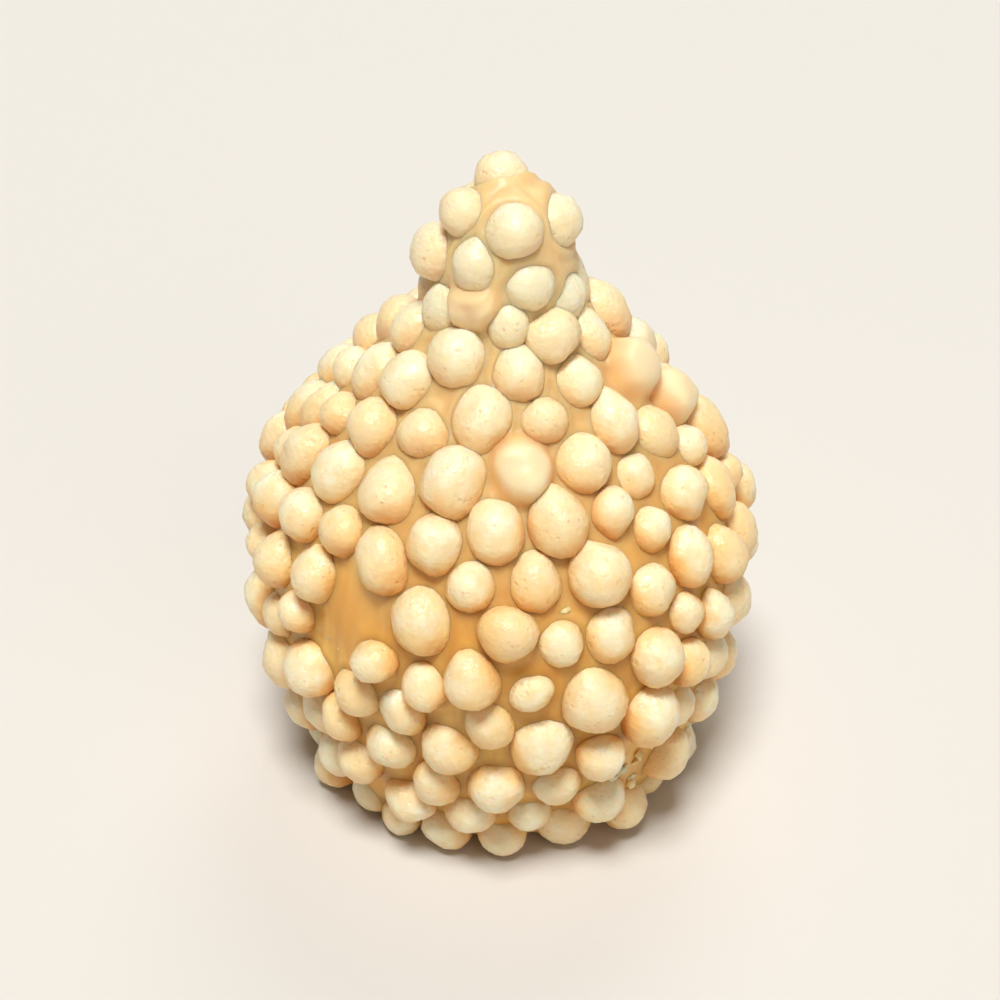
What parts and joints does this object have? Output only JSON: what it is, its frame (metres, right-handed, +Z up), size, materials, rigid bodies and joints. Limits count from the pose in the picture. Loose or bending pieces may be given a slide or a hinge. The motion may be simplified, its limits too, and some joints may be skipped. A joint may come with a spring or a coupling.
{
  "type": "cashew modak",
  "caption": "Small onion-shaped sweet of smooth cashew paste with a full belly, drawn-in shoulders and a knob, rolled in pale crunchy pearls.",
  "frame": {"origin": "on the flat base, under the middle of the whole seen from above", "axes": "+Z up from the base to the knob; -Y is the side that faces the viewer in the picture; +X is the viewer's right"},
  "size_m": [0.0336, 0.0338, 0.0435],
  "materials": {
    "cashew_paste": "food: dense tan cashew paste, slightly translucent, smooth with a faint oily sheen",
    "pearls": "food: cream to light tan crunchy pearls, satin, faintly pitted, half sunk in the paste"
  },
  "bodies": {
    "root": {"modak": "cashew_paste"}
  },
  "joints": []
}
